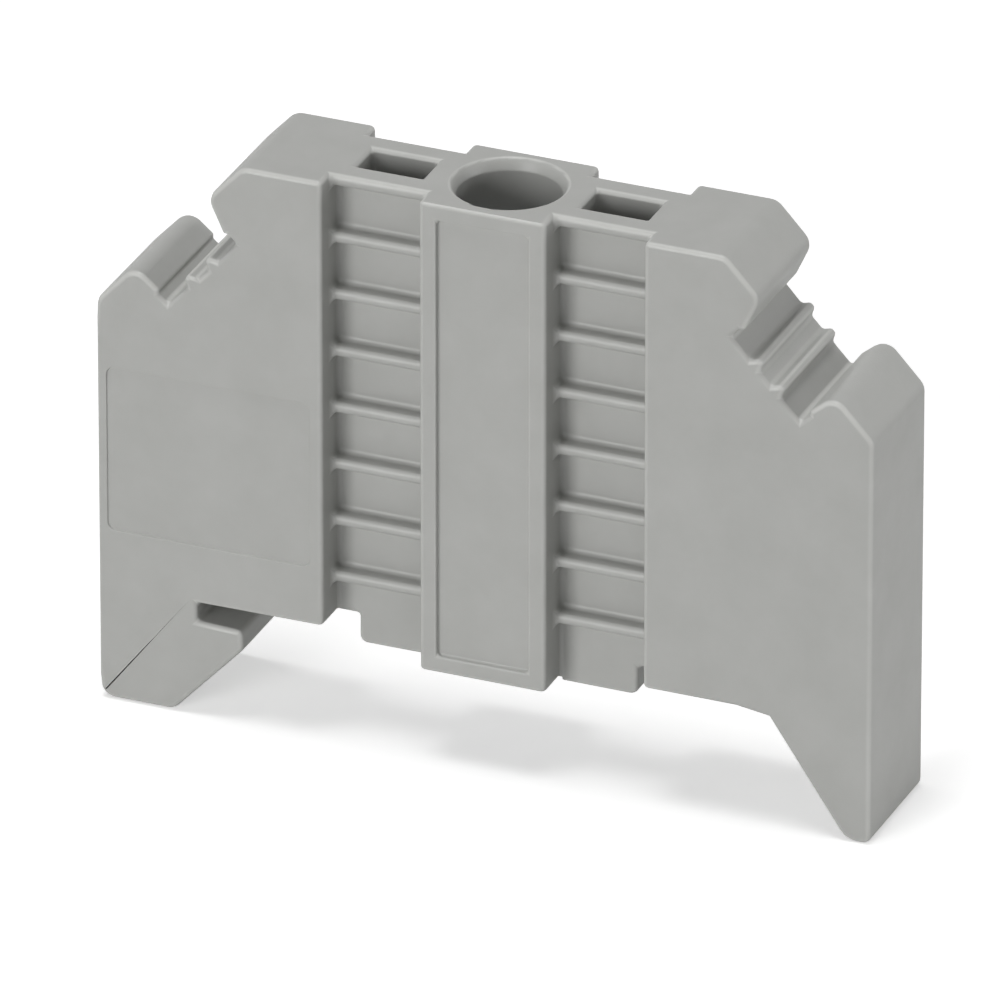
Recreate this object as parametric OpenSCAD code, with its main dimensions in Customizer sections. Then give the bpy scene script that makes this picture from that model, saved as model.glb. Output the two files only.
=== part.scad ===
// Screw-down end stop for a top-hat mounting rail: a moulded housing, its clamping screw and the screw's nut.
// The origin is on the screw's axis, at mid-thickness, in the plane of the rail's lips.
// X runs across the rail, Y along it and Z away from it. All sizes are in millimetres.

/* [Rail] */
// Width of the rail over its lips
rail_w = 35; // [33:0.5:36]
// Thickness of the rail's sheet
rail_t = 1; // [0.8:0.1:1.3]
// Depth of the rail from the top of its lips to its back
rail_depth = 7.5; // [7:0.5:9]

/* [Body] */
// Length across the rail
body_l = 49; // [48:0.5:54]
// Thickness along the rail
body_t = 8.4; // [8:0.1:12]
// Height of the top face above the rail's lips
top_z = 29.1; // [27:0.1:34]

/* [Column round the screw] */
// Width of the column
column_w = 8; // [7.8:0.1:9.5]
// How far the column reaches below the rail's lips
column_foot = 1.6; // [0.5:0.1:2.5]
// Margin between the column's edges and the sunk panel on its faces
panel_margin = 1.1; // [0.6:0.1:1.6]
// Depth of the sunk panel
panel_depth = 0.35; // [0.1:0.05:0.5]

/* [Ribbed fields] */
// Width of each ribbed field beside the column
field_w = 6.15; // [5.5:0.05:7]
// Depth of a field's floor below the faces
field_depth = 2.4; // [1.8:0.1:2.6]
// Depth of the ribs' tips below the faces
rib_depth = 1.35; // [0.6:0.05:1.7]
// Number of ribs in a field
rib_count = 7; // [3:1:7]
// Distance from rib to rib
rib_pitch = 3.7; // [2.4:0.05:3.75]
// Thickness of a rib
rib_t = 0.7; // [0.5:0.05:1.2]
// Height of the bar that closes a field at the top
top_bar_h = 0.8; // [0.5:0.1:1.5]
// Width of the moulding pocket inside each field
pocket_w = 4.2; // [3:0.1:5]
// Wall between the pocket and a field's floor
pocket_wall = 0.55; // [0.4:0.05:0.8]
// Depth of the moulding pocket
pocket_depth = 24; // [10:1:25]
// How far the tongue under each field reaches below the rail's lips
tongue_foot = 1.9; // [0.5:0.1:2.5]
// Distance from the tongue's edge to the field's outer edge
tongue_inset = 1.3; // [0.8:0.1:2]

/* [Marker grooves] */
// Width of the marker strip's seat
marker_w = 6.5; // [5.5:0.1:6.6]
// Angle of the seat below the horizontal
groove_tilt = 47; // [44:1:49]
// Distance of the seat's upper corner from the body's end
groove_from_end = 9; // [8.5:0.1:10]
// Distance of the seat's upper corner below the top face
groove_drop = 5.1; // [4.7:0.1:6]
// Height of the catching lips above the seat
lip_h = 1; // [0.8:0.05:1.3]
// How far each lip overhangs the seat
lip_over = 0.3; // [0.1:0.05:0.5]
// Height of the two ridges on the seat
ridge_h = 0.6; // [0.3:0.05:0.8]
// Width of a ridge at its foot
ridge_w = 0.9; // [0.7:0.05:1.2]
// Distance between the ridges' centres
ridge_spacing = 1.95; // [1.5:0.05:2.4]
// How far the nose stands out over the seat's upper corner
nose_reach = 1.9; // [1.5:0.1:2.4]
// Width of the slope from the top face down to the nose's tip
nose_slope = 2.2; // [1.6:0.1:2.4]
// Width of the slope from the shoulder down to the body's end
shoulder_slope = 2.4; // [1.6:0.1:2.6]
// Height of the shoulder above the lower lip
shoulder_rise = 1.25; // [0.4:0.05:1.4]

/* [Hooked foot] */
// How far the hooked foot reaches below the rail's lips
hook_foot = 7.4; // [6:0.1:7.4]
// How far the hook reaches under the rail's lip
hook_reach = 2.2; // [1.2:0.1:2.8]
// Play of the rail's edge in the slot, sideways
slot_side_play = 0.8; // [0.3:0.1:1.2]
// Play of the rail's lip in the slot, in height
slot_play = 0.3; // [0.1:0.05:0.6]
// Height of the hook's tip
hook_tip_h = 1.3; // [0.8:0.1:2]
// Width of the hooked foot at its bottom
hook_foot_w = 4.7; // [3:0.1:6]

/* [Springing foot] */
// How far the springing foot reaches below the rail's lips
spring_foot = 7.45; // [6:0.05:7.5]
// Width of the springing foot at its bottom
spring_foot_w = 1.55; // [1:0.05:3]
// Gap between the rail's edge and the root of the foot
root_gap = 0.6; // [0.3:0.1:1]
// How far the root lies below the rail's lips
root_drop = 0.3; // [0.1:0.1:0.6]
// How far the catch at the back of the foot reaches under the rail's lip
catch_reach = 0.9; // [0.5:0.1:1.4]
// Height of the catch's nose
catch_h = 0.5; // [0.3:0.1:1]
// Length of the catch along the rail
catch_l = 3.6; // [2:0.1:4]

/* [Label field] */
// Distance of the label field from the body's end
label_from_end = 0.6; // [0.4:0.1:2]
// Distance of the label field from the ribbed field
label_from_field = 0.8; // [0.4:0.1:2]
// Height of the label field's lower edge above the rail's lips
label_z = 3.8; // [2:0.1:6]
// Height of the label field
label_h = 10.7; // [4:0.1:11]
// Depth of the label field
label_depth = 0.12; // [0.05:0.01:0.3]

/* [Screw and nut] */
// Diameter of the thread
thread_d = 3.5; // [3:0.1:3.6]
// Length of the screw under its head
screw_l = 20; // [16:1:22]
// Diameter of the screw's head
head_d = 6; // [5.5:0.1:6.2]
// Height of the screw's head
head_h = 2.4; // [2:0.1:3]
// Width of the slot in the head
slot_w = 1; // [0.8:0.1:1.2]
// Depth of the slot in the head
slot_depth = 1.1; // [0.8:0.1:1.4]
// Distance from the rail's lips down to the screw's tip, with the screw backed off
tip_drop = 1.2; // [0.5:0.1:2]
// Width across the square nut
nut_w = 6; // [5.5:0.1:6.2]
// Thickness of the nut
nut_t = 2; // [1.6:0.1:2.8]
// Height of the nut's seat above the rail's lips
nut_seat_z = 6; // [4:0.5:8]

/* [Hidden] */

// Radial clearances of the head in its bore, the thread in the nut and the thread in the housing
head_clearance = 0.12;
thread_clearance = 0.08;
shank_clearance = 0.25;
// Clearance on each side of the nut in its pocket
nut_clearance = 0.06;
// Bore left under the head when the screw bears on the rail
head_reserve = 0.5;
// Countersink at the bore's mouth, outwards and downwards
mouth_flare = 0.35;
mouth_depth = 0.7;
// Chamfers at the screw's tip and at its head's upper edge
tip_chamfer = 0.5;
head_chamfer = 0.3;

// Radii of the outline's corners
edge_r = 0.15;
small_r = 0.5;
lobe_r = 1;
foot_r = 0.9;
toe_r = 1.3;
// Number of chords in each rounded corner
arc_chords = 6;
// Length of the straight that eases the rail seat down to the springing foot's root
ease_l = 2.1;
// Overshoot of the cutting tools past a face
over = 1;
fine = 64;

half_l = body_l / 2;
half_t = body_t / 2;
column_x = column_w / 2;
field_x = column_x + field_w;
web_t = body_t - 2 * field_depth;
rib_span = body_t - 2 * rib_depth;
bar_z = top_z - top_bar_h;

seat_corner = [half_l - groove_from_end, top_z - groove_drop];
nose_x = seat_corner[0] + nose_reach;
lower_lip = groove(marker_w - lip_over, lip_h);
shoulder_z = lower_lip[1] + shoulder_rise;

slot_x = rail_w / 2 + slot_side_play;
slot_z = -rail_t - slot_play;
hook_x = rail_w / 2 - hook_reach;
root_x = rail_w / 2 + root_gap;
catch_x = rail_w / 2 - catch_reach;

rail_floor_z = rail_t - rail_depth;
head_z = screw_l - tip_drop;
screw_travel = -tip_drop - rail_floor_z;
bore_floor_z = head_z - screw_travel - head_reserve;

housing_grey = [0.64, 0.65, 0.63];
zinc = [0.78, 0.79, 0.8];

// A point in the inclined marker groove: along its seat from the upper corner, and out from the seat
function groove(along, out) = seat_corner + turned([along, out], -groove_tilt);

function unit(v) = v / norm(v);
function turned(v, angle) = [
    v[0] * cos(angle) - v[1] * sin(angle),
    v[0] * sin(angle) + v[1] * cos(angle)
];
function point(corner) = [corner[0], corner[1]];

// The arc that rounds one corner [x, z, radius], held to what the edges beside it leave
function arc(before, corner, after) =
    let (
        back = point(before) - point(corner),
        ahead = point(after) - point(corner),
        half = acos(unit(back) * unit(ahead)) / 2,
        run = min(corner[2] / tan(half), 0.49 * norm(back), 0.49 * norm(ahead)),
        centre = point(corner) + unit(unit(back) + unit(ahead)) * run / cos(half),
        spoke = point(corner) + unit(back) * run - centre,
        sweep = sign(cross(-back, ahead)) * (180 - 2 * half)
    )
    [for (i = [0 : arc_chords]) centre + turned(spoke, sweep * i / arc_chords)];

// An outline from its corners [x, z, radius]
function rounded(corners) =
    let (n = len(corners))
    [
        for (i = [0 : n - 1])
            each corners[i][2] == 0
                ? [point(corners[i])]
                : arc(corners[(i + n - 1) % n], corners[i], corners[(i + 1) % n])
    ];

// A ridge across the marker seat, centred at a distance along it
function ridge(along) = [
    for (side = [-1, 1])
        each side < 0
            ? [foot_of_ridge(along, side), top_of_ridge(along, side)]
            : [top_of_ridge(along, side), foot_of_ridge(along, side)]
];
function foot_of_ridge(along, side) = [
    each groove(along + side * ridge_w / 2, 0),
    edge_r
];
function top_of_ridge(along, side) = [
    each groove(along + side * ridge_w / 4, ridge_h),
    edge_r
];

// Nose, marker groove and shoulder, from the top face to the body's end
function head_corners() = [
    [nose_x - nose_slope, top_z, lobe_r],
    [nose_x, top_z - nose_slope * tan(groove_tilt), lobe_r],
    [each groove(lip_over, lip_h), edge_r],
    [each groove(0, lip_h - lip_over / 2), edge_r],
    [each groove(0, 0), edge_r],
    each ridge((marker_w - ridge_spacing) / 2),
    each ridge((marker_w + ridge_spacing) / 2),
    [each groove(marker_w, 0), edge_r],
    [each groove(marker_w, lip_h - lip_over / 2), edge_r],
    [each lower_lip, edge_r],
    [half_l - shoulder_slope, shoulder_z, lobe_r],
    [half_l, shoulder_z - shoulder_slope * tan(groove_tilt), lobe_r]
];

// Foot that hooks under the rail's lip, with the slot for the lip
function hook_corners() = [
    [half_l, -hook_foot, foot_r],
    [half_l - hook_foot_w, -hook_foot, foot_r],
    [hook_x, slot_z - hook_tip_h, small_r],
    [hook_x, slot_z, edge_r],
    [slot_x, slot_z, edge_r],
    [slot_x, 0, edge_r]
];

// Foot that springs outwards over the rail's other lip
function spring_corners() = [
    [half_l, -spring_foot, small_r],
    [half_l - spring_foot_w, -spring_foot, toe_r],
    [root_x, -root_drop, edge_r],
    [root_x - ease_l, 0, toe_r]
];

// An outline in the XZ plane given a thickness along Y, centred on the middle plane
module slab(corners, thickness) {
    rotate([90, 0, 0])
        linear_extrude(thickness, center = true)
            polygon(rounded(corners));
}

// A block from one height to another, centred on the screw's axis plane or on another x
module block(x, width, thickness, from_z, to_z) {
    translate([x - width / 2, -thickness / 2, from_z])
        cube([width, thickness, to_z - from_z]);
}

// The end of the body with its nose, marker groove, shoulder and foot
module end_block(foot_corners) {
    slab(
        concat([[field_x, top_z, 0]], head_corners(), foot_corners, [[field_x, 0, 0]]),
        body_t
    );
}

// Nib at the back of the springing foot that catches under the rail's lip
module rear_catch() {
    nib = [
        [root_x, 0, 0],
        [root_x, slot_z, 0],
        [catch_x, slot_z, edge_r],
        [catch_x, slot_z - catch_h, edge_r],
        [root_x + 1.5 * catch_reach, slot_z - catch_h - 1.5 * catch_reach, 0],
        [half_l - foot_r, slot_z, 0],
        [half_l - foot_r, 0, 0]
    ];
    translate([0, half_t - catch_l / 2, 0])
        slab(nib, catch_l);
}

// One ribbed field: the thin web with its tongue, the ribs on both faces and the bar at the top
module ribbed_field() {
    centre_x = column_x + field_w / 2;
    tongue_x = field_x - tongue_inset;
    slab(
        [
            [column_x, top_z, 0],
            [field_x, top_z, 0],
            [field_x, 0, 0],
            [tongue_x, 0, 0],
            [tongue_x, -tongue_foot, small_r],
            [column_x, -tongue_foot, 0]
        ],
        web_t
    );
    for (i = [1 : rib_count])
        block(centre_x, field_w, rib_span, bar_z - i * rib_pitch, bar_z - i * rib_pitch + rib_t);
    block(centre_x, field_w, rib_span, bar_z, top_z);
}

// The pocket that keeps the moulding's walls thin inside a field
module moulding_pocket() {
    block(
        column_x + field_w / 2,
        pocket_w,
        web_t - 2 * pocket_wall,
        top_z - pocket_depth,
        top_z + over
    );
}

// The sunk panel on the front and back of the column
module column_panels() {
    for (side = [-1, 1])
        translate([0, side * half_t, 0])
            block(
                0,
                column_w - 2 * panel_margin,
                2 * panel_depth,
                panel_margin - column_foot,
                top_z - panel_margin
            );
}

// The way of the screw: head bore with a flared mouth, thread hole and pocket for the nut
module screw_way() {
    bore_r = head_d / 2 + head_clearance;
    translate([0, 0, bore_floor_z])
        cylinder(h = top_z - bore_floor_z + over, r = bore_r, $fn = fine);
    translate([0, 0, top_z - mouth_depth])
        cylinder(h = mouth_depth, r1 = bore_r, r2 = bore_r + mouth_flare, $fn = fine);
    cylinder(h = top_z, r = thread_d / 2 + shank_clearance, $fn = fine);
    block(0, nut_w + 2 * nut_clearance, nut_w + 2 * nut_clearance, -column_foot - over, nut_seat_z);
}

// The shallow field for a label on the front face of the hooked end
module label_field() {
    left = label_from_end - half_l;
    right = -field_x - label_from_field;
    translate([0, -half_t, 0])
        slab(
            [
                [left, label_z, small_r],
                [right, label_z, small_r],
                [right, label_z + label_h, small_r],
                [left, label_z + label_h, small_r]
            ],
            2 * label_depth
        );
}

// The moulding, all in one piece
module housing() {
    color(housing_grey)
        difference() {
            union() {
                mirror([1, 0, 0])
                    end_block(hook_corners());
                end_block(spring_corners());
                rear_catch();
                for (turn = [0, 1])
                    mirror([turn, 0, 0])
                        ribbed_field();
                block(0, column_w, body_t, -column_foot, top_z);
            }
            for (turn = [0, 1])
                mirror([turn, 0, 0])
                    moulding_pocket();
            column_panels();
            screw_way();
            label_field();
        }
}

// The slotted screw that lifts the housing against the rail's lips, backed off
module clamp_screw() {
    color(zinc)
        difference() {
            rotate_extrude($fn = fine)
                polygon([
                    [0, -tip_drop],
                    [thread_d / 2 - tip_chamfer, -tip_drop],
                    [thread_d / 2, tip_chamfer - tip_drop],
                    [thread_d / 2, head_z],
                    [head_d / 2, head_z],
                    [head_d / 2, head_z + head_h - head_chamfer],
                    [head_d / 2 - head_chamfer, head_z + head_h],
                    [0, head_z + head_h]
                ]);
            block(0, head_d + over, slot_w, head_z + head_h - slot_depth, head_z + head_h + over);
        }
}

// The square nut held in the column's foot
module square_nut() {
    color(zinc)
        difference() {
            block(0, nut_w, nut_w, nut_seat_z - nut_t, nut_seat_z);
            translate([0, 0, nut_seat_z - nut_t - over])
                cylinder(h = nut_t + 2 * over, r = thread_d / 2 + thread_clearance, $fn = fine);
        }
}

housing();
clamp_screw();
square_nut();
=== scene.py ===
# %% [markdown]
# # A screw-down end stop for a mounting rail
#
# This lesson dresses a small moulded bracket for its portrait. The real object is a grey polyamide
# moulding, about five centimetres long, with a zinc-plated screw and a square nut inside. Its exact
# solids come from a CAD model, so nothing here changes a size. What Blender adds is what a moulding
# really shows: softly rounded edges that catch the light, a fine matt skin, and a true screw thread.
#
# Everything is in metres. X runs across the rail, Y along it, Z away from it.

# %% Load the solids and keep their box
import math

import bmesh
import bpy
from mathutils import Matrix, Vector


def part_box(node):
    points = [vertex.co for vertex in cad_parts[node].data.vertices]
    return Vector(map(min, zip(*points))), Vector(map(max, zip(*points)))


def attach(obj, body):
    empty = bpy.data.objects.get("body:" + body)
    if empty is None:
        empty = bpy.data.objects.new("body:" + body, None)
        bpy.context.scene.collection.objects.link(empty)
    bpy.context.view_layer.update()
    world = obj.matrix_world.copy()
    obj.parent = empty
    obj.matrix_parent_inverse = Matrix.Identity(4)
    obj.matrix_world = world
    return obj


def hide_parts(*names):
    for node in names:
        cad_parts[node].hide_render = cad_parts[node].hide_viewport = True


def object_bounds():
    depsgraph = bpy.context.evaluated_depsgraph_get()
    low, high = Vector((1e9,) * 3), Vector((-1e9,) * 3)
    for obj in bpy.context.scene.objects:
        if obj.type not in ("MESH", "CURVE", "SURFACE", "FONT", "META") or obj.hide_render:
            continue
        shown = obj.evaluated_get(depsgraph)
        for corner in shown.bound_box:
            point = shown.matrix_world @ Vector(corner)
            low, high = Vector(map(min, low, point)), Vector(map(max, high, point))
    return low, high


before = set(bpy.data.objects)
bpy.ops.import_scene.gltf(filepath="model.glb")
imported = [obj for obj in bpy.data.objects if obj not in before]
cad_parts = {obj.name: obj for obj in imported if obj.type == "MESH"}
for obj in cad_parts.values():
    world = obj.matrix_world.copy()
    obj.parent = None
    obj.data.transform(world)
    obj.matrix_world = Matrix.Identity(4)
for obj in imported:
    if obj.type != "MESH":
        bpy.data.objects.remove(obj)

MM = 0.001
cad_low, cad_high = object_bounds()
print("solids:", sorted(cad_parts))
print("CAD box in mm:", [round(side / MM, 2) for side in cad_high - cad_low])

# %% [markdown]
# ## The camera
#
# A small product looks best from far away through a long lens, because its upright edges then stay
# parallel. A short lens close by would fit the same object in the frame, but would splay its sides.
# The camera's place is worked out from two angles round the object and a distance. Azimuth 0 looks
# along +Y, straight at the front, and a positive azimuth walks round towards the springing foot. The
# lamps are placed by the same two helpers. A lens is given in millimetres, as on a real camera.

# %% Camera
CAMERA_AZIMUTH = 22.6
CAMERA_ELEVATION = 27
CAMERA_DISTANCE = 1.2
CAMERA_LENS = 737
CLIP_NEAR = 0.05
CLIP_FAR = 10

aim = Vector((-0.6, 0, 8.3)) * MM


def direction_at(azimuth, elevation):
    """Which way a place lies from the object, for two angles in degrees."""
    a, e = math.radians(azimuth), math.radians(elevation)
    return Vector((math.sin(a) * math.cos(e), -math.cos(a) * math.cos(e), math.sin(e)))


def stand_off(thing, direction, distance):
    """Puts a camera or lamp that far from the object, facing it."""
    thing.location = aim + direction * distance
    thing.rotation_euler = (-direction).to_track_quat("-Z", "Y").to_euler()


camera_data = bpy.data.cameras.new("portrait_camera")
camera_data.lens = CAMERA_LENS
camera_data.clip_start = CLIP_NEAR
camera_data.clip_end = CLIP_FAR
camera = bpy.data.objects.new("portrait_camera", camera_data)
bpy.context.scene.collection.objects.link(camera)
stand_off(camera, direction_at(CAMERA_AZIMUTH, CAMERA_ELEVATION), CAMERA_DISTANCE)
bpy.context.scene.camera = camera
print("camera stands", round(camera.location.length, 3), "m away")

# %% [markdown]
# ## The floor
#
# A pale floor grounds the object with a soft shadow. It could be a curved sweep, but the long lens
# sees only a hand's breadth of it, so one flat disc is enough. To the camera it glows a little, which
# turns it white without throwing more light on the object. It lies a hair below the feet, so that
# the two never share a plane. Two short helpers for shader nodes come first, for all materials.

# %% Node helpers
def new_material(name):
    """A material, its node tree and its surface shader."""
    material = bpy.data.materials.new(name)
    material.use_nodes = True
    tree = material.node_tree
    return material, tree, tree.nodes["Principled BSDF"]


def add_node(tree, kind, **settings):
    """A shader node of that kind, with its inputs or properties set by name."""
    node = tree.nodes.new(kind)
    for key, value in settings.items():
        if key in node.inputs:
            node.inputs[key].default_value = value
        else:
            setattr(node, key, value)
    return node


def add_range(tree, low, high):
    """A node that maps 0 to 1 onto another range."""
    return add_node(tree, "ShaderNodeMapRange", **{"To Min": low, "To Max": high})


# %% Floor
FLOOR_RADIUS = 0.7
FLOOR_SEGMENTS = 96
FLOOR_GAP = 0.02 * MM
FLOOR_COLOUR = (0.86, 0.86, 0.86, 1)
FLOOR_ROUGHNESS = 0.9
FLOOR_SPECULAR = 0.1
FLOOR_GLOW = 0.46

floor_bm = bmesh.new()
bmesh.ops.create_circle(floor_bm, cap_ends=True, segments=FLOOR_SEGMENTS, radius=FLOOR_RADIUS)
bmesh.ops.translate(floor_bm, verts=floor_bm.verts, vec=(0, 0, cad_low.z - FLOOR_GAP))
floor_mesh = bpy.data.meshes.new("floor")
floor_bm.to_mesh(floor_mesh)
floor_bm.free()
floor = bpy.data.objects.new("floor", floor_mesh)
bpy.context.scene.collection.objects.link(floor)

floor_material, tree, surface = new_material("pale_floor")
surface.inputs["Base Color"].default_value = FLOOR_COLOUR
surface.inputs["Roughness"].default_value = FLOOR_ROUGHNESS
surface.inputs["Specular IOR Level"].default_value = FLOOR_SPECULAR
ray = add_node(tree, "ShaderNodeLightPath")
glow = add_node(tree, "ShaderNodeEmission")
glow_amount = add_node(tree, "ShaderNodeMath", operation="MULTIPLY")
glow_amount.inputs[1].default_value = FLOOR_GLOW
both = add_node(tree, "ShaderNodeAddShader")
tree.links.new(ray.outputs["Is Camera Ray"], glow_amount.inputs[0])
tree.links.new(glow_amount.outputs[0], glow.inputs["Strength"])
tree.links.new(surface.outputs[0], both.inputs[0])
tree.links.new(glow.outputs[0], both.inputs[1])
tree.links.new(both.outputs[0], tree.nodes["Material Output"].inputs["Surface"])
floor_mesh.materials.append(floor_material)
print("floor at", round((cad_low.z - FLOOR_GAP) / MM, 2), "mm")

# %% [markdown]
# ## Soft studio light
#
# Three large soft boxes do the work: one in front and a little to the left, one on the right and one
# above. Each face of the bracket then gets mostly one of them, and a rounded edge between two faces
# gets a share of both, so every edge shows as a thin bright line. Recesses, which no box looks into,
# stay darker. A lamp's power is worked out from its distance, so that at level 1 a surface square to
# it renders about as bright as its own colour.

# %% Lamps
LAMP_DISTANCE = 0.7
LAMP_SIZE = 0.3


def soft_box(name, azimuth, elevation, level):
    """A square lamp at two angles round the object, facing it."""
    data = bpy.data.lights.new(name, "AREA")
    data.size = LAMP_SIZE
    data.energy = level * math.pi ** 2 * LAMP_DISTANCE ** 2
    lamp = bpy.data.objects.new(name, data)
    bpy.context.scene.collection.objects.link(lamp)
    stand_off(lamp, direction_at(azimuth, elevation), LAMP_DISTANCE)


soft_box("front_box", azimuth=-16, elevation=14, level=0.54)
soft_box("right_box", azimuth=98, elevation=4, level=0.49)
soft_box("top_box", azimuth=-60, elevation=86, level=0.57)
lamps = [o for o in bpy.context.scene.objects if o.type == "LIGHT"]
print("lamps:", {lamp.name: round(lamp.data.energy, 2) for lamp in lamps})

# %% [markdown]
# ## The room around
#
# The world fills the shadows with a little even light. It could be brighter, but then the recesses
# would go flat. The camera, and rays that a glossy or clear surface sends out, see it pure white
# instead, so the background is white and the zinc has something bright to mirror.

# %% World
WORLD_LEVEL = 0.1

scene = bpy.context.scene
scene.view_settings.view_transform = "Standard"
world = bpy.data.worlds.new("studio")
scene.world = world
world.use_nodes = True
tree = world.node_tree
background = tree.nodes["Background"]
ray = add_node(tree, "ShaderNodeLightPath")
camera_or_glossy = add_node(tree, "ShaderNodeMath", operation="MAXIMUM")
seen = add_node(tree, "ShaderNodeMath", operation="MAXIMUM")
strength = add_range(tree, WORLD_LEVEL, 1.0)
background.inputs["Color"].default_value = (1, 1, 1, 1)
tree.links.new(ray.outputs["Is Camera Ray"], camera_or_glossy.inputs[0])
tree.links.new(ray.outputs["Is Glossy Ray"], camera_or_glossy.inputs[1])
tree.links.new(camera_or_glossy.outputs[0], seen.inputs[0])
tree.links.new(ray.outputs["Is Transmission Ray"], seen.inputs[1])
tree.links.new(seen.outputs[0], strength.inputs["Value"])
tree.links.new(strength.outputs[0], background.inputs["Strength"])
print("world level:", WORLD_LEVEL, "and 1 where it is seen directly or mirrored")

# %% [markdown]
# ## Moulded polyamide
#
# The housing is matt because its mould was spark eroded: the skin is covered with pits a few
# hundredths of a millimetre wide. An image of that skin would slide or stretch on the many faces, so
# it is made from noise on object coordinates, which are metres. One noise is the grain of the skin,
# as bump. A second is the slow drift in tone that flow marks leave, only a few percent deep. A third
# lets the gloss wander. On top of that, outer edges get a painted highlight, a colour a shade lighter
# that stands in for the light they catch. Noise can't know where an edge is, so the mesh tells the
# material through an attribute, which is 0 wherever it isn't set.

# %% Material: polyamide
DRIFT_SCALE = 260
GLOSS_SCALE = 900
GRAIN_SCALE = 9000
GRAIN_DEPTH = 0.00002
SKIN_ROUGHNESS = (0.36, 0.48)
TONES = ((0.3, (0.385, 0.388, 0.372, 1)), (0.7, (0.412, 0.415, 0.4, 1)))
# The attribute that carries the painted highlight on outer edges, and how much lighter it makes the
# colour there.
HIGHLIGHT_ATTRIBUTE = "painted_highlight"
HIGHLIGHT_TONE = 1.2


def grey_polyamide():
    """Light warm grey moulded plastic with a fine eroded skin, and a painted highlight on its outer
    edges.
    """
    material, tree, surface = new_material("grey_polyamide")
    place = add_node(tree, "ShaderNodeTexCoord")
    drift = add_node(tree, "ShaderNodeTexNoise", Scale=DRIFT_SCALE, Detail=3, Roughness=0.6)
    gloss = add_node(tree, "ShaderNodeTexNoise", Scale=GLOSS_SCALE, Detail=2, Roughness=0.5)
    grain = add_node(tree, "ShaderNodeTexNoise", Scale=GRAIN_SCALE, Detail=2, Roughness=0.6)
    tone = add_node(tree, "ShaderNodeValToRGB")
    for stop, (position, colour) in zip(tone.color_ramp.elements, TONES):
        stop.position = position
        stop.color = colour
    # Painted highlight: the colour is made lighter where the edge attribute is set, on the crests of
    # outer edges.
    painted_highlight = add_node(tree, "ShaderNodeAttribute", attribute_name=HIGHLIGHT_ATTRIBUTE)
    lighter = add_range(tree, 1.0, HIGHLIGHT_TONE)
    tone_with_highlight = add_node(tree, "ShaderNodeVectorMath", operation="SCALE")
    roughness = add_range(tree, *SKIN_ROUGHNESS)
    bump = add_node(tree, "ShaderNodeBump", Strength=0.35, Distance=GRAIN_DEPTH)
    for texture in (drift, gloss, grain):
        tree.links.new(place.outputs["Object"], texture.inputs["Vector"])
    tree.links.new(drift.outputs["Fac"], tone.inputs["Fac"])
    tree.links.new(painted_highlight.outputs["Fac"], lighter.inputs["Value"])
    tree.links.new(tone.outputs["Color"], tone_with_highlight.inputs[0])
    tree.links.new(lighter.outputs[0], tone_with_highlight.inputs["Scale"])
    tree.links.new(tone_with_highlight.outputs[0], surface.inputs["Base Color"])
    tree.links.new(gloss.outputs["Fac"], roughness.inputs["Value"])
    tree.links.new(roughness.outputs[0], surface.inputs["Roughness"])
    tree.links.new(grain.outputs["Fac"], bump.inputs["Height"])
    tree.links.new(bump.outputs[0], surface.inputs["Normal"])
    surface.inputs["IOR"].default_value = 1.5
    return material


polyamide = grey_polyamide()
print("made", polyamide.name, "with", len(polyamide.node_tree.nodes), "nodes")

# %% [markdown]
# ## Zinc plate
#
# The screw and nut are steel with a thin bright zinc plating. Zinc is metallic, a little blue, and
# never quite even: the plating bath leaves cloudy patches where the gloss changes. The nut is
# punched from strip and keeps a rougher face, so it gets the same shader with other numbers.

# %% Material: zinc plate
CLOUD_SCALE = 1200
SCRATCH_SCALE = 14000
SCRATCH_DEPTH = 0.00001


def zinc_plate(name, colour, roughest):
    """Plated steel whose roughness wanders between half of the roughest value and all of it."""
    material, tree, surface = new_material(name)
    place = add_node(tree, "ShaderNodeTexCoord")
    cloud = add_node(tree, "ShaderNodeTexNoise", Scale=CLOUD_SCALE, Detail=4, Roughness=0.6)
    scratch = add_node(tree, "ShaderNodeTexNoise", Scale=SCRATCH_SCALE, Detail=1, Roughness=0.5)
    roughness = add_range(tree, roughest / 2, roughest)
    bump = add_node(tree, "ShaderNodeBump", Strength=0.25, Distance=SCRATCH_DEPTH)
    for texture in (cloud, scratch):
        tree.links.new(place.outputs["Object"], texture.inputs["Vector"])
    tree.links.new(cloud.outputs["Fac"], roughness.inputs["Value"])
    tree.links.new(roughness.outputs[0], surface.inputs["Roughness"])
    tree.links.new(scratch.outputs["Fac"], bump.inputs["Height"])
    tree.links.new(bump.outputs[0], surface.inputs["Normal"])
    surface.inputs["Base Color"].default_value = (*colour, 1)
    surface.inputs["Metallic"].default_value = 1.0
    return material


screw_zinc = zinc_plate("screw_zinc", (0.6, 0.62, 0.64), roughest=0.42)
nut_zinc = zinc_plate("nut_zinc", (0.56, 0.57, 0.58), roughest=0.5)
print("made", screw_zinc.name, "and", nut_zinc.name)

# %% [markdown]
# ## Tools for soft edges
#
# The CAD solids are sharp, so their copies get rolled edges. A copy arrives as loose triangles. They
# are merged first, and flat neighbours are dissolved into whole faces, because a bevel needs real edges
# between whole faces to work on. Weighted normals then shade the big faces flat and leave all of the
# turn to the rolled edges. The bevel marks the old faces as strong for that purpose.

# %% Rounding tools
SHARP = math.radians(32)
FLAT = math.radians(0.5)
MERGE = 0.001 * MM
ROLL_STEPS = 3


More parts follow.
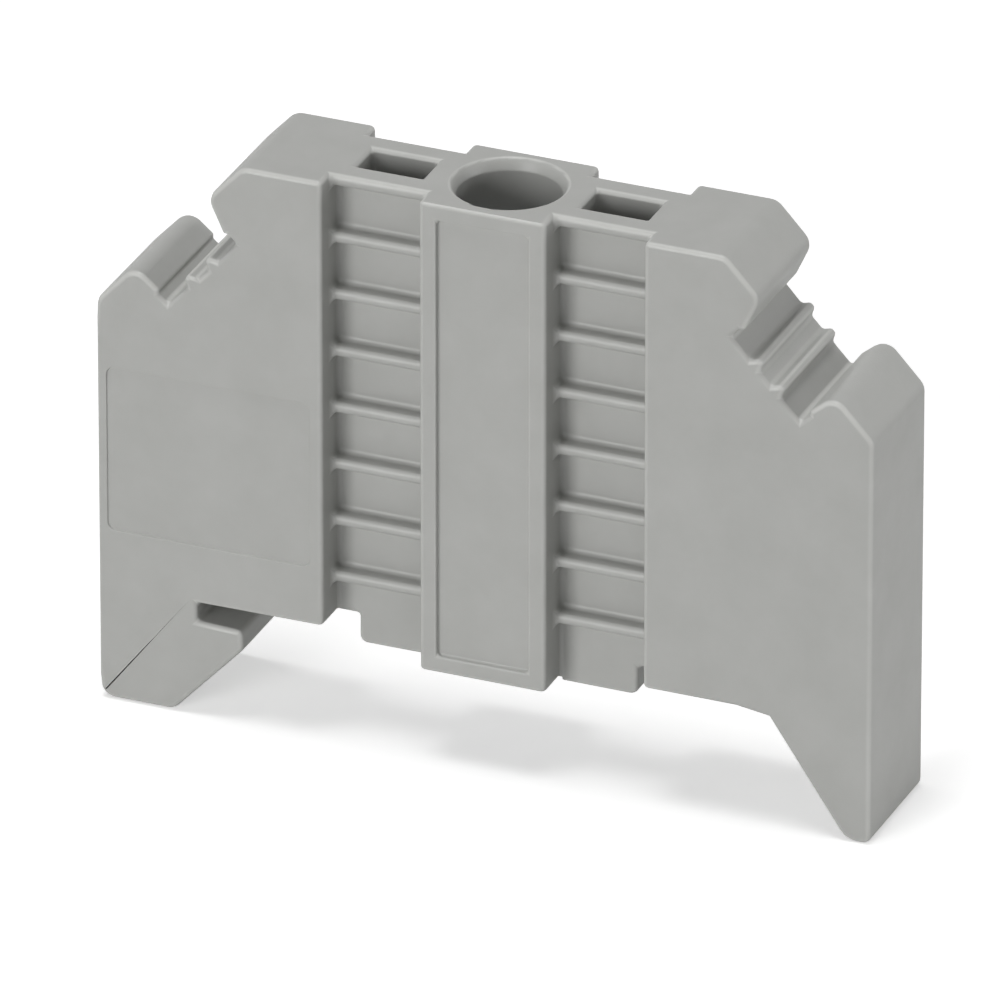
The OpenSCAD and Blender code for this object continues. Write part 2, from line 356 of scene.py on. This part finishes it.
def merged_copy(node):
    """The mesh of a CAD node as whole flat faces."""
    bm = bmesh.new()
    bm.from_mesh(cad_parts[node].data)
    bmesh.ops.remove_doubles(bm, verts=bm.verts, dist=MERGE)
    bmesh.ops.dissolve_degenerate(bm, dist=MERGE, edges=bm.edges)
    bmesh.ops.dissolve_limit(
        bm, angle_limit=FLAT, use_dissolve_boundaries=False, verts=bm.verts, edges=bm.edges,
        delimit=set(),
    )
    return bm


def sharp_edges(bm):
    """Edges where two faces meet at a clear angle."""
    return [e for e in bm.edges if len(e.link_faces) == 2 and e.calc_face_angle() > SHARP]


def roll_edges(bm, edges, radius):
    """Rounds those edges over by one radius."""
    bmesh.ops.bevel(
        bm, geom=edges, offset=radius, offset_type="OFFSET", affect="EDGES", segments=ROLL_STEPS,
        profile=0.5, material=-1, clamp_overlap=False, miter_outer="SHARP", miter_inner="SHARP",
        face_strength_mode="ALL",
    )
    bmesh.ops.remove_doubles(bm, verts=bm.verts, dist=MERGE)


# %% Tools that make and shade a piece
def piece_from(bm, name, material, body):
    """A smooth-shaded piece that rides on a body."""
    mesh = bpy.data.meshes.new(name)
    for face in bm.faces:
        face.smooth = True
    bm.to_mesh(mesh)
    bm.free()
    mesh.materials.append(material)
    piece = bpy.data.objects.new(name, mesh)
    bpy.context.scene.collection.objects.link(piece)
    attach(piece, body)
    return piece


def keep_flats_flat(piece):
    """Shades big faces flat and lets the rolled edges carry all of the turn."""
    normals = piece.modifiers.new("flat_faces", "WEIGHTED_NORMAL")
    normals.mode = "FACE_AREA"
    normals.weight = 100
    normals.keep_sharp = True
    normals.use_face_influence = True


# %% [markdown]
# ## The housing's edges
#
# No moulded edge is a knife edge. The edges here are rolled by about a third of a millimetre, and the
# outer ones catch the light as thin bright lines. The bore's flared mouth is rolled a little more at
# the top and hardly at its foot, which keeps the ring crisp. One radius for all would not fit: a rolled
# edge needs room on both faces beside it, and the lips and ridges of the marker grooves are too small
# for it. So each edge gets a radius of its own, no more than a share of the narrower face beside it.

# %% How far each edge is rolled
EDGE_RADIUS = 0.32 * MM
MOUTH_RADIUS = 0.36 * MM
MOUTH_FOOT_RADIUS = 0.08 * MM
MOUTH_REACH = 4.5 * MM
MOUTH_TURN = math.radians(20)
MOUTH_DEEPEST = 1.5 * MM
MOUTH_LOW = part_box("housing")[1].z - MOUTH_DEEPEST
ROOM_SHARE = 0.42


def room_beside(edge):
    """The smaller width of the two faces beside an edge."""
    start, end = (v.co for v in edge.verts)
    along = (end - start).normalized()

    def width(face):
        return max((v.co - start).cross(along).length for v in face.verts)

    return min(width(face) for face in edge.link_faces)


def on_mouth(edge):
    """Whether an edge belongs to the flared mouth of the bore."""
    if len(edge.link_faces) != 2 or max(v.co.xy.length for v in edge.verts) > MOUTH_REACH:
        return False
    return edge.verts[0].co.z > MOUTH_LOW and edge.calc_face_angle() > MOUTH_TURN


def wanted_radius(edge):
    """How far an edge is rolled where it has room."""
    if not on_mouth(edge):
        return EDGE_RADIUS
    return MOUTH_RADIUS if edge.calc_face_angle() > SHARP else MOUTH_FOOT_RADIUS


# %% [markdown]
# ## The housing
#
# The bevel operator takes one radius for all edges, but the Bevel modifier multiplies its width by a
# weight on each edge, so it is the better tool here. Its width is the largest radius, and every other
# radius is a share of that. The solid's own smallest corner arcs are gathered to one point first, since
# a chain of tiny edges leaves a bevel no room at all.

# %% Housing
TINY_EDGE = 0.06 * MM
WHOLE, ROLLED = 0, 1

housing_bm = merged_copy("housing")
tiny = [e for e in housing_bm.edges if e.calc_length() < TINY_EDGE]
print("corner arcs' edges gathered:", len(tiny))
bmesh.ops.collapse(housing_bm, edges=tiny, uvs=False)
bmesh.ops.dissolve_degenerate(housing_bm, dist=MERGE, edges=housing_bm.edges)

weight = housing_bm.edges.layers.float.new("bevel_weight_edge")
rolled = set(sharp_edges(housing_bm)) | {e for e in housing_bm.edges if on_mouth(e)}
for edge in rolled:
    edge[weight] = min(wanted_radius(edge), ROOM_SHARE * room_beside(edge)) / MOUTH_RADIUS
print("edges rolled:", len(rolled), "round the mouth:", sum(on_mouth(e) for e in rolled))

housing = piece_from(housing_bm, "housing_moulding", polyamide, "housing")
housing.data.materials.append(polyamide)
bevel = housing.modifiers.new("rolled_edges", "BEVEL")
bevel.limit_method = "WEIGHT"
bevel.offset_type = "OFFSET"
bevel.width = MOUTH_RADIUS
bevel.segments = ROLL_STEPS
bevel.profile = 0.5
bevel.use_clamp_overlap = False
bevel.face_strength_mode = "FSTR_ALL"
bevel.material = ROLLED
keep_flats_flat(housing)
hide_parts("housing")
print("housing faces before its bevel:", len(housing.data.polygons))

# %% [markdown]
# ## Painted edge highlights
#
# The crests of the outer edges get a painted highlight: a colour a shade lighter than the faces, which
# stands in for the light that a rolled edge catches. Painting them by hand would go wrong at the next
# change of size, so the mesh finds them by itself. The bevel gave its new faces the second material
# index, which tells them apart. Both modifiers are applied here, and every point that only new faces
# share lies on the crest of a rolled edge. A point is on an outer edge where its neighbours lie behind
# it, seen along its normal. Those points get 1 in the attribute that the polyamide reads, so the
# painted highlight fades out inside the roll.

# %% Which points get the painted highlight
def crest_points(mesh):
    """The points that only rolled faces share."""
    crest = set(range(len(mesh.vertices)))
    for face in mesh.polygons:
        if face.material_index == WHOLE:
            crest.difference_update(face.vertices)
    return crest


def rise_of_neighbours(mesh):
    """How far each point's neighbours lie before it (positive) or behind it, added up."""
    rise = [0.0] * len(mesh.vertices)
    for edge in mesh.edges:
        a, b = (mesh.vertices[i] for i in edge.vertices)
        rise[a.index] += (b.co - a.co).dot(a.normal)
        rise[b.index] += (a.co - b.co).dot(b.normal)
    return rise


# %% Painted highlight on the housing's edges
depsgraph = bpy.context.evaluated_depsgraph_get()
rounded = bpy.data.meshes.new_from_object(
    housing.evaluated_get(depsgraph), preserve_all_data_layers=True, depsgraph=depsgraph,
)
crest = crest_points(rounded)
rise = rise_of_neighbours(rounded)
# Painted highlight: points on the crests of outer edges get 1, all other points 0.
painted_highlight = rounded.attributes.new(HIGHLIGHT_ATTRIBUTE, "FLOAT", "POINT")
for index in crest:
    painted_highlight.data[index].value = 1.0 if rise[index] < 0 else 0.0
print("points on rolled edges:", len(crest), "rubbed:", sum(rise[i] < 0 for i in crest))

for face in rounded.polygons:
    face.material_index = WHOLE
housing.modifiers.clear()
housing.data = rounded
rounded.materials.pop()
print("housing faces:", len(rounded.polygons))

# %% [markdown]
# ## The screw's head
#
# The head is a slotted cheese head, upset cold and then plated, so its rims are softly rounded and the
# slot has a crisp but not sharp edge. The CAD screw has a plain shank as thick as the thread, which is
# cut off here, because a thread goes inwards from that size. One plane parts the solid under the head.

# %% Screw head
SCREW_ROLL = 0.12 * MM
HAIR = 0.0001 * MM
CUT_ABOVE = 0.01 * MM
HEAD_SHARE = 0.9
SHANK_BELOW = 1 * MM

screw_low, screw_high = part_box("clamp_screw")
head_r = screw_high.x
screw_bm = merged_copy("clamp_screw")
under_head = min(v.co.z for v in screw_bm.verts if v.co.xy.length > HEAD_SHARE * head_r)
shank_r = max(v.co.xy.length for v in screw_bm.verts if v.co.z < under_head - SHANK_BELOW)
bmesh.ops.bisect_plane(
    screw_bm, geom=screw_bm.verts[:] + screw_bm.edges[:] + screw_bm.faces[:], dist=HAIR,
    plane_co=(0, 0, under_head + CUT_ABOVE), plane_no=(0, 0, 1), clear_inner=True,
)
bmesh.ops.holes_fill(screw_bm, edges=screw_bm.edges, sides=0)
roll_edges(screw_bm, sharp_edges(screw_bm), SCREW_ROLL)
screw_head = piece_from(screw_bm, "screw_head", screw_zinc, "clamp_screw")
keep_flats_flat(screw_head)
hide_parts("clamp_screw")
print("head radius", round(head_r / MM, 2), "mm, shank radius", round(shank_r / MM, 2), "mm")

# %% [markdown]
# ## The thread
#
# A thread could be a bump pattern, but it shows in outline against the rail, so it is real geometry. A
# lathe turns the core from its half outline, and one small ridge outline is spun round the axis while
# it climbs by one pitch in each turn. An M3.5 thread has a pitch of 0.6 mm and is cut about 0.35 mm
# deep, with a narrow flat crest. The ridge's foot lies a little inside the core, so no gap shows.

# %% Thread sizes
PITCH = 0.6 * MM
THREAD_DEPTH = 0.35 * MM
CREST = 0.06 * MM
RIDGE_FOOT = 0.5 * MM
SUNK = 0.03 * MM
STEPS_PER_TURN = 32
TIP_CHAMFER = 0.5 * MM
RUN_OUT = 1.2 * MM
CORE_STEPS = 64
OVERLAP = 0.02 * MM

core_r = shank_r - THREAD_DEPTH
tip_z = screw_low.z
print("core radius", round(core_r / MM, 2), "mm, tip at", round(tip_z / MM, 2), "mm")


# %% Core
def lathe(profile, steps):
    """A closed turned body from its half outline of radius and height."""
    bm = bmesh.new()
    verts = [bm.verts.new((radius, 0, height)) for radius, height in profile]
    edges = [bm.edges.new(pair) for pair in zip(verts, verts[1:])]
    bmesh.ops.spin(
        bm, geom=verts + edges, cent=(0, 0, 0), axis=(0, 0, 1), dvec=(0, 0, 0),
        angle=2 * math.pi, steps=steps, use_merge=True, use_duplicate=False,
    )
    bmesh.ops.remove_doubles(bm, verts=bm.verts, dist=HAIR)
    bmesh.ops.recalc_face_normals(bm, faces=bm.faces)
    return bm


def keep_edges_crisp(bm):
    """Marks clear edges as sharp, where a turned or cut edge isn't rolled."""
    for edge in sharp_edges(bm):
        edge.smooth = False


core_bm = lathe(
    [
        (0, tip_z),
        (core_r - TIP_CHAMFER / 2, tip_z),
        (core_r, tip_z + TIP_CHAMFER / 2),
        (core_r, under_head - RUN_OUT),
        (shank_r - SUNK, under_head - RUN_OUT / 2),
        (shank_r - SUNK, under_head + OVERLAP),
        (0, under_head + OVERLAP),
    ],
    steps=CORE_STEPS,
)
keep_edges_crisp(core_bm)
core = piece_from(core_bm, "screw_core", screw_zinc, "clamp_screw")
print("core faces:", len(core.data.polygons))

# %% Thread
thread_from = tip_z + TIP_CHAMFER
turns = (under_head - RUN_OUT - thread_from) / PITCH
ridge_outline = (
    (core_r - SUNK, -RIDGE_FOOT / 2),
    (shank_r, -CREST / 2),
    (shank_r, CREST / 2),
    (core_r - SUNK, RIDGE_FOOT / 2),
)
thread_bm = bmesh.new()
ridge_verts = [thread_bm.verts.new((r, 0, thread_from + h)) for r, h in ridge_outline]
ridge_edges = [thread_bm.edges.new(pair) for pair in zip(ridge_verts, ridge_verts[1:])]
thread_bm.faces.new(ridge_verts)
thread_steps = round(turns * STEPS_PER_TURN)
climb = (0, 0, PITCH / STEPS_PER_TURN)
spun = bmesh.ops.spin(
    thread_bm, geom=ridge_verts + ridge_edges, cent=(0, 0, 0), axis=(0, 0, 1), dvec=climb,
    angle=2 * math.pi * thread_steps / STEPS_PER_TURN, steps=thread_steps, use_merge=False,
    use_duplicate=False,
)
last_ring = [v for v in spun["geom_last"] if isinstance(v, bmesh.types.BMVert)]
thread_bm.faces.new(sorted(last_ring, key=lambda v: (v.co.z, v.co.xy.length)))
bmesh.ops.recalc_face_normals(thread_bm, faces=thread_bm.faces)
keep_edges_crisp(thread_bm)
thread = piece_from(thread_bm, "screw_thread", screw_zinc, "clamp_screw")
print("thread:", round(turns, 1), "turns,", len(thread.data.polygons), "faces")

# %% [markdown]
# ## The nut
#
# A square nut is punched from strip, so its corners are crisp on one side and drawn in on the other.
# It sits deep in its pocket and only its underside shows, so a small even radius on every edge is
# enough. It rides on the housing, which carries it.

# %% Nut
NUT_ROLL = 0.15 * MM

nut_bm = merged_copy("square_nut")
roll_edges(nut_bm, sharp_edges(nut_bm), NUT_ROLL)
nut = piece_from(nut_bm, "square_nut_rolled", nut_zinc, "housing")
keep_flats_flat(nut)
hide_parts("square_nut")
print("nut faces:", len(nut.data.polygons))
